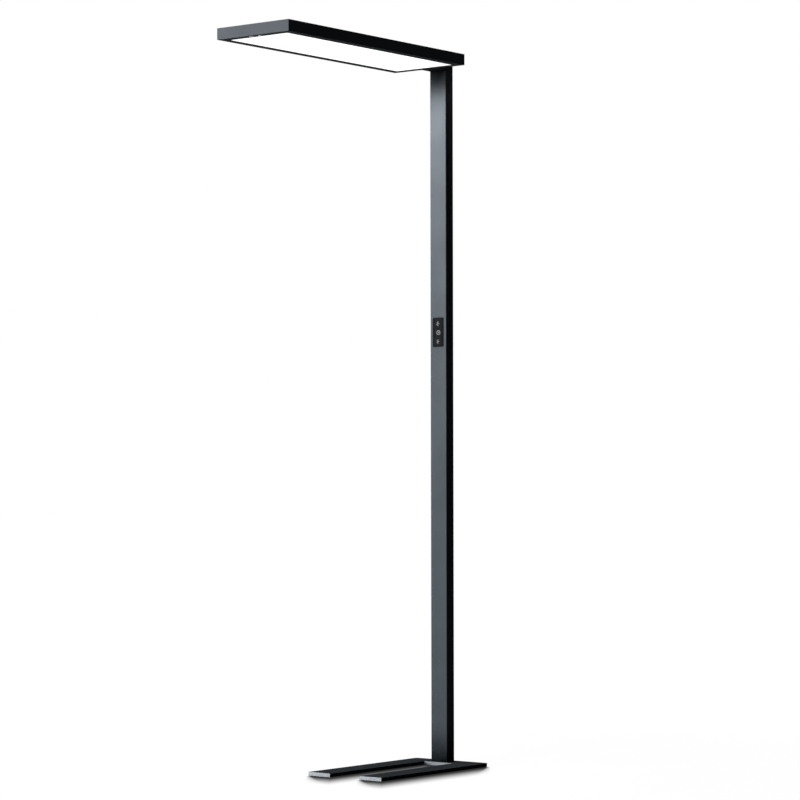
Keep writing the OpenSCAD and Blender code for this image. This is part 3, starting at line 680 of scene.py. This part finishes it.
EDGE_BREAKS = {
    "base_plate": 1.0,
    "base_pads": 0.25,
    "frame_left": 0.35,
    "frame_right": 0.35,
    "frame_front": 0.35,
    "frame_rear": 0.35,
    "head_cover": 0.3,
    "neck_bracket": 0.4,
    "neck_cover": 0.3,
    "control_bezel": 0.25,
    "key_upper": 0.3,
    "key_middle": 0.3,
    "key_lower": 0.3,
    "cable_gland": 0.25,
    "downlight_diffuser": 0.25,
    "uplight_diffuser": 0.3,
    "led_drivers": 0.4,
    "sensor_housing": 0.3,
}
WELD_GAP = 0.002 * MM
FLAT_ANGLE = math.radians(0.4)
EDGE_ANGLE = math.radians(40)


def break_edges():
    """Small rounded edges, as a maker's deburring or mould leaves them."""
    for name, width in EDGE_BREAKS.items():
        node = frame["nodes"][name]
        weld = node.modifiers.new("weld", "WELD")
        weld.merge_threshold = WELD_GAP
        flat = node.modifiers.new("flat", "DECIMATE")
        flat.decimate_type = "DISSOLVE"
        flat.angle_limit = FLAT_ANGLE
        bevel = node.modifiers.new("edge", "BEVEL")
        bevel.width = width * MM
        bevel.segments = 2
        bevel.limit_method = "ANGLE"
        bevel.angle_limit = EDGE_ANGLE
        bevel.use_clamp_overlap = True
        bevel.miter_outer = "MITER_ARC"
        even = node.modifiers.new("even", "WEIGHTED_NORMAL")
        even.keep_sharp = True


# ---- Mesh helpers ----


def join_rings(mesh, first, second):
    """A closed band of faces between two rings of vertices."""
    for i in range(len(first)):
        j = (i + 1) % len(first)
        mesh.faces.new((first[i], first[j], second[j], second[i]))


def new_piece(name, mesh, finish):
    """Turns a bmesh into an object in the scene, with its faces looking out."""
    bmesh.ops.recalc_face_normals(mesh, faces=mesh.faces)
    data = bpy.data.meshes.new(name)
    mesh.to_mesh(data)
    mesh.free()
    data.materials.append(finish)
    piece = bpy.data.objects.new(name, data)
    bpy.context.scene.collection.objects.link(piece)
    return piece


# ---- Key symbols: outlines are in mm from the symbol's middle, as x and z ----

PRINT_OUT = 0.05 * MM
PRINT_IN = 0.15 * MM
RAY_START = 2.7
RAY_STROKE = 1.5
RAY_ANGLES = (38, 0, -38)
UPPER_RAY_ENDS = (9.8, 10.8, 9.8)
LOWER_RAY_ENDS = (9.1, 10.1, 9.1)
RING_OUTER = 6.4
RING_INNER = 4.7
DOT_RADIUS = 1.7
RING_SIDES = 48

# Where each symbol's middle is, in mm right of and above the middle of its key
MARK_PLACES = {"upper": (-6.2, -1.6), "middle": (1.6, -1.2), "lower": (-5.8, -0.8)}


def ray_mark(name, ends):
    """Straight strokes that fan out from one point."""
    mesh = bmesh.new()
    for angle, end in zip(RAY_ANGLES, ends):
        along = Vector((math.cos(math.radians(angle)), math.sin(math.radians(angle))))
        across = Vector((-along.y, along.x)) * RAY_STROKE / 2
        near, far = along * RAY_START, along * end
        outline = (near - across, far - across, far + across, near + across)
        front = [mesh.verts.new((p.x * MM, -PRINT_OUT, p.y * MM)) for p in outline]
        face = mesh.faces.new(front)
        face.normal_update()
        if face.normal.y > 0:
            face.normal_flip()
        grown = bmesh.ops.extrude_face_region(mesh, geom=[face])["geom"]
        for v in (g for g in grown if isinstance(g, bmesh.types.BMVert)):
            v.co.y = PRINT_IN
    return new_piece(name, mesh, key_print)


def ring_mark(name):
    """A ring with a dot in it."""
    mesh = bmesh.new()

    def circle(radius, y):
        turns = [2 * math.pi * i / RING_SIDES for i in range(RING_SIDES)]
        r = radius * MM
        return [mesh.verts.new((r * math.cos(turn), y, r * math.sin(turn))) for turn in turns]

    rings = [
        circle(RING_OUTER, PRINT_IN),
        circle(RING_OUTER, -PRINT_OUT),
        circle(RING_INNER, -PRINT_OUT),
        circle(RING_INNER, PRINT_IN),
    ]
    for first, second in zip(rings, rings[1:] + rings[:1]):
        join_rings(mesh, first, second)
    top, low = circle(DOT_RADIUS, -PRINT_OUT), circle(DOT_RADIUS, PRINT_IN)
    mesh.faces.new(top)
    mesh.faces.new(low)
    join_rings(mesh, top, low)
    return new_piece(name, mesh, key_print)


def print_keys():
    """The marks on the three keys: light rays above and below, and a ring with a dot between."""
    marks = {
        "upper": ray_mark("mark_upper", UPPER_RAY_ENDS),
        "middle": ring_mark("mark_middle"),
        "lower": ray_mark("mark_lower", LOWER_RAY_ENDS),
    }
    for key, piece in marks.items():
        low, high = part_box("key_" + key)
        right, up = MARK_PLACES[key]
        piece.location = (right * MM, KEY_FACE_Y, (low.z + high.z) / 2 + up * MM)
        bpy.context.view_layer.update()
        piece.data.transform(piece.matrix_world)
        piece.matrix_world = Matrix.Identity(4)
        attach(piece, "push_" + key)


# ---- Lens of the motion sensor ----

# The wall under its flange, how far the flange and its chamfer reach, how much narrower the
# dome is than the neck, and how far the neck ends above the dome's edge
LENS_WALL = 2.0 * MM
LENS_FLANGE = 1.0 * MM
LENS_CHAMFER = 0.15 * MM
LENS_SHOULDER = 0.1 * MM
LENS_LIFT = 0.05 * MM
LENS_SIDES = 96
DOME_RINGS = 26

# The dome has a cap and two rows of segments, which meet at these tilts in degrees
SEAM_TILTS = (13.0, 27.0)
INNER_SEGMENTS = 6
OUTER_SEGMENTS = 12
SEAM_DEPTH = 0.16 * MM
SEAM_WIDTH = 0.17 * MM


def seam_depth(tilt, turn, radius, sphere):
    """How deep the moulded seams between the lens segments are at one point of the dome."""
    inner, outer = SEAM_TILTS
    gaps = [abs(math.radians(tilt - edge)) * sphere for edge in SEAM_TILTS]
    if tilt > inner:
        segments = INNER_SEGMENTS if tilt < outer else OUTER_SEGMENTS
        pitch = 2 * math.pi / segments
        off = abs((turn + pitch / 2) % pitch - pitch / 2)
        gaps.append(off * radius)
    return SEAM_DEPTH * math.exp(-((min(gaps) / SEAM_WIDTH) ** 2))


def segmented_lens():
    """The motion sensor's lens: a flange, a neck through the rim, and a dome of small segments."""
    low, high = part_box("motion_lens")
    middle = (low + high) / 2
    flange = (high.x - low.x) / 2
    neck = flange - LENS_FLANGE
    rim = HEAD_UNDERSIDE_Z
    rise = rim - low.z
    edge = neck - LENS_SHOULDER
    sphere = (edge * edge + rise * rise) / (2 * rise)
    widest = math.degrees(math.asin(edge / sphere))
    mesh = bmesh.new()

    def circle(radius, z, dome_tilt=None):
        loop = []
        for i in range(LENS_SIDES):
            turn = 2 * math.pi * i / LENS_SIDES
            r, up = radius, z
            if dome_tilt is not None:
                depth = seam_depth(dome_tilt, turn, radius, sphere)
                r -= depth * math.sin(math.radians(dome_tilt))
                up += depth * math.cos(math.radians(dome_tilt))
            place = (middle.x + r * math.cos(turn), middle.y + r * math.sin(turn), up)
            loop.append(mesh.verts.new(place))
        return loop

    loops = [
        circle(flange - LENS_CHAMFER, high.z),
        circle(flange, high.z - LENS_CHAMFER),
        circle(flange, rim + LENS_WALL),
        circle(neck, rim + LENS_WALL),
        circle(neck, rim + LENS_LIFT),
    ]
    for i in range(DOME_RINGS):
        tilt = widest * (1 - i / DOME_RINGS)
        radius = sphere * math.sin(math.radians(tilt))
        up = low.z + sphere * (1 - math.cos(math.radians(tilt)))
        loops.append(circle(radius, up, tilt))
    for first, second in zip(loops, loops[1:]):
        join_rings(mesh, first, second)
    for loop, z in ((loops[0], high.z), (loops[-1], low.z)):
        tip = mesh.verts.new((middle.x, middle.y, z))
        for i in range(LENS_SIDES):
            mesh.faces.new((loop[i], loop[(i + 1) % LENS_SIDES], tip))
    for face in mesh.faces:
        face.smooth = face.calc_center_median().z < rim
    piece = new_piece("segmented_lens", mesh, lens_white)
    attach(piece, "lamp")
    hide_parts("motion_lens")


# ---- Camera ----

CAMERA_AT = (4.62394943, -6.15674217, 0.78706239)
CAMERA_TURN = 37.774
CAMERA_TILT = 1.6413
CAMERA_ROLL = -0.0929
CAMERA_LENS = 125.27
SENSOR_WIDTH = 36.0
FAR_CLIP = 100.0


def set_camera():
    """A long lens that looks from the front right, at about the height of a desk."""
    data = bpy.data.cameras.new("camera")
    data.lens = CAMERA_LENS
    data.sensor_width = SENSOR_WIDTH
    data.clip_end = FAR_CLIP
    camera = bpy.data.objects.new("camera", data)
    turn = Matrix.Rotation(math.radians(CAMERA_TURN), 4, "Z")
    tilt = Matrix.Rotation(math.radians(90 + CAMERA_TILT), 4, "X")
    roll = Matrix.Rotation(math.radians(CAMERA_ROLL), 4, "Z")
    camera.matrix_world = Matrix.Translation(CAMERA_AT) @ turn @ tilt @ roll
    bpy.context.scene.collection.objects.link(camera)
    bpy.context.scene.camera = camera


# ---- Lights: places in metres, beams in degrees ----

WIDE = 180
NARROW = 50
PLAIN = (1.0, 1.0, 1.0)
COOL = (0.55, 0.85, 1.0)

# What the lights look at
LAMP_MIDDLE = (0.0, -0.3, 1.0)
HEAD_FRONT = (0.0, -0.8, 1.93)
POLE_LOW = (0.0, 0.0, 0.5)
UNDER_HEAD = (0.0, -0.3, 0.0)

# The lamp's own light: its width, how much shorter than the opal plate it is, how far below
# the plate it hangs, and its beam
GLOW_WIDTH = 54.0 * MM
GLOW_SHORT = 10.0 * MM
GLOW_DROP = 1.0 * MM
GLOW_BEAM = 130
GLOW_WATTS = 4.15


def soft_light(name, at, aim, size, watts, beam=WIDE, colour=PLAIN, glossy=True):
    """A rectangular area light at one point that looks at another. The camera doesn't see it."""
    data = bpy.data.lights.new(name, "AREA")
    data.color = colour
    data.shape = "RECTANGLE"
    data.size, data.size_y = size
    data.energy = watts
    data.spread = math.radians(beam)
    lamp = bpy.data.objects.new(name, data)
    lamp.location = at
    lamp.rotation_mode = "QUATERNION"
    lamp.rotation_quaternion = (Vector(aim) - Vector(at)).to_track_quat("-Z", "Y")
    lamp.visible_camera = False
    lamp.visible_glossy = glossy
    bpy.context.scene.collection.objects.link(lamp)


def light_studio():
    """A large soft key from the front left, and weaker lights around and above."""
    soft_light("key_light", at=(-2.3, -3.2, 1.5), aim=LAMP_MIDDLE, size=(2.2, 2.4), watts=130.0)
    soft_light(
        "head_light",
        at=(-1.2, -3.2, 2.2),
        aim=HEAD_FRONT,
        size=(0.8, 0.8),
        watts=4.0,
        beam=NARROW,
    )
    soft_light(
        "low_light",
        at=(-1.2, -3.2, 0.6),
        aim=POLE_LOW,
        size=(0.8, 0.8),
        watts=1.5,
        beam=NARROW,
        colour=COOL,
    )
    soft_light("rear_light", at=(-1.4, 3.3, 1.9), aim=LAMP_MIDDLE, size=(2.0, 2.0), watts=45.0)
    soft_light("top_light", at=(0.0, -0.3, 3.7), aim=UNDER_HEAD, size=(1.2, 1.2), watts=12.0)


def light_downwards():
    """The light that the lamp itself throws down, from just under its opal plate."""
    low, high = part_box("downlight_diffuser")
    middle = (low + high) / 2
    at = (middle.x, middle.y, HEAD_UNDERSIDE_Z - GLOW_DROP)
    below = (middle.x, middle.y, 0.0)
    size = (GLOW_WIDTH, high.y - low.y - GLOW_SHORT)
    soft_light("downlight_glow", at, below, size, GLOW_WATTS, beam=GLOW_BEAM, glossy=False)


# ---- White background and floor ----

WHITE = (1.0, 1.0, 1.0, 1.0)
BLACK = (0.0, 0.0, 0.0, 1.0)
ROOM_COLOUR = (0.93, 0.96, 1.0, 1.0)
ROOM_STRENGTH = 0.01

# The floor's paint, how white it shows near the lamp, and where that fades to full white
FLOOR_COLOUR = (0.07, 0.07, 0.07, 1.0)
FLOOR_NEAR = 0.96
FLOOR_FADE = (0.8, 4.0)
FLOOR_HALF = 40.0

# The base's soft shade on the floor: the way it trails, how far it reaches, how wide its edge
# is at the base and per metre further off, how far it grows past the base, and its darkest level
SHADE_WAY = (0.613, -0.790)
SHADE_REACH = 0.2
SHADE_EDGE = 20.0 * MM
SHADE_SOFTEN = 0.6
SHADE_GROW = 4.0 * MM
SHADE_DARK = 0.03


def background_rays(tree):
    """1 for the rays that should see the white background: from the camera, gloss or glass."""
    path = put(tree, "LightPath").outputs
    seen = maths(tree, "MAXIMUM", path["Is Camera Ray"], path["Is Glossy Ray"])
    return maths(tree, "MAXIMUM", seen, path["Is Transmission Ray"])


def set_world():
    """A dim even room that shows white behind the lamp."""
    world = bpy.data.worlds.new("studio")
    bpy.context.scene.world = world
    world.use_nodes = True
    tree = world.node_tree
    tree.nodes.clear()
    room = put(tree, "Background", {"Color": ROOM_COLOUR, "Strength": ROOM_STRENGTH})
    white = put(tree, "Background", {"Color": WHITE, "Strength": 1.0})
    shaders = {0: background_rays(tree), 1: room.outputs[0], 2: white.outputs[0]}
    mix = put(tree, "MixShader", shaders)
    put(tree, "OutputWorld", {"Surface": mix.outputs[0]})


def strip_shade(tree, axes, low, high):
    """Shade that one flat box trails over the floor along SHADE_WAY: 1 under it, 0 far off."""
    way_x, way_y = SHADE_WAY
    sides = (
        (axes["X"], way_x, high.x + SHADE_GROW, low.x - SHADE_GROW),
        (axes["Y"], way_y, low.y - SHADE_GROW, high.y + SHADE_GROW),
    )
    enters, leaves = [], []
    for place, way, first, last in sides:
        enters.append(maths(tree, "DIVIDE", maths(tree, "SUBTRACT", place, first), way))
        leaves.append(maths(tree, "DIVIDE", maths(tree, "SUBTRACT", place, last), way))
    enter = maths(tree, "MAXIMUM", maths(tree, "MAXIMUM", *enters), 0.0)
    leave = maths(tree, "MINIMUM", *leaves)
    edge = maths(tree, "ADD", maths(tree, "MULTIPLY", enter, SHADE_SOFTEN), SHADE_EDGE)
    crossed = maths(tree, "DIVIDE", maths(tree, "SUBTRACT", leave, enter), edge, True)
    near = spread(tree, enter, 0.0, SHADE_REACH, 1.0, 0.0, interpolation_type="SMOOTHSTEP")
    return maths(tree, "MULTIPLY", crossed, near)


def base_shade(tree, place):
    """Soft shade of the base's two tines and bridge on the floor: dark close to them, 1 beyond."""
    low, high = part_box("base_plate")
    axes = put(tree, "SeparateXYZ", {0: place}).outputs
    strips = (
        (Vector((low.x, low.y, 0.0)), Vector((-SLOT_HALF, high.y, 0.0))),
        (Vector((SLOT_HALF, low.y, 0.0)), high),
        (Vector((low.x, SLOT_END_Y, 0.0)), high),
    )
    total = 0.0
    for start, end in strips:
        total = maths(tree, "MAXIMUM", total, strip_shade(tree, axes, start, end))
    return between(tree, total, 1.0, SHADE_DARK)


def floor_finish():
    """Shows white to the camera, keeps the base's soft shade, and is clear from below."""
    finish = bpy.data.materials.new("floor_white")
    finish.use_nodes = True
    tree = finish.node_tree
    tree.nodes.clear()
    place = put(tree, "TexCoord").outputs["Object"]
    away = vector_maths(tree, "LENGTH", place)["Value"]
    shade = base_shade(tree, place)
    level = maths(tree, "MULTIPLY", spread(tree, away, *FLOOR_FADE, FLOOR_NEAR, 1.0), shade)
    seen = background_rays(tree)
    glow = put(tree, "Emission", {"Strength": maths(tree, "MULTIPLY", seen, level)})
    # Only the rays that are seen get the shaded paint, so the light thrown back stays whole
    lit = maths(tree, "MAXIMUM", shade, maths(tree, "SUBTRACT", 1.0, seen))
    matte = put(tree, "BsdfDiffuse", {"Color": blend_colours(tree, lit, BLACK, FLOOR_COLOUR)})
    above = put(tree, "AddShader", {0: glow.outputs[0], 1: matte.outputs[0]})
    clear = put(tree, "BsdfTransparent")
    below = put(tree, "NewGeometry").outputs["Backfacing"]
    mix = put(tree, "MixShader", {0: below, 1: above.outputs[0], 2: clear.outputs[0]})
    put(tree, "OutputMaterial", {"Surface": mix.outputs[0]})
    return finish


def lay_floor():
    """A wide pale floor."""
    mesh = bpy.data.meshes.new("floor")
    corners = [(x * FLOOR_HALF, y * FLOOR_HALF, 0.0) for x, y in ((-1, -1), (1, -1), (1, 1), (-1, 1))]
    mesh.from_pydata(corners, [], [(0, 1, 2, 3)])
    mesh.materials.append(floor_finish())
    floor = bpy.data.objects.new("floor", mesh)
    bpy.context.scene.collection.objects.link(floor)


# ---- Putting it together ----

for thing in list(bpy.context.scene.objects):
    if thing.type in ("MESH", "LIGHT", "CAMERA") and thing.name not in frame["nodes"]:
        bpy.data.objects.remove(thing)
bpy.context.view_layer.update()

bpy.context.scene.view_settings.view_transform = "Standard"
set_camera()
set_world()
light_studio()
light_downwards()
lay_floor()
dress_nodes()
break_edges()
print_keys()
segmented_lens()

bpy.context.view_layer.update()
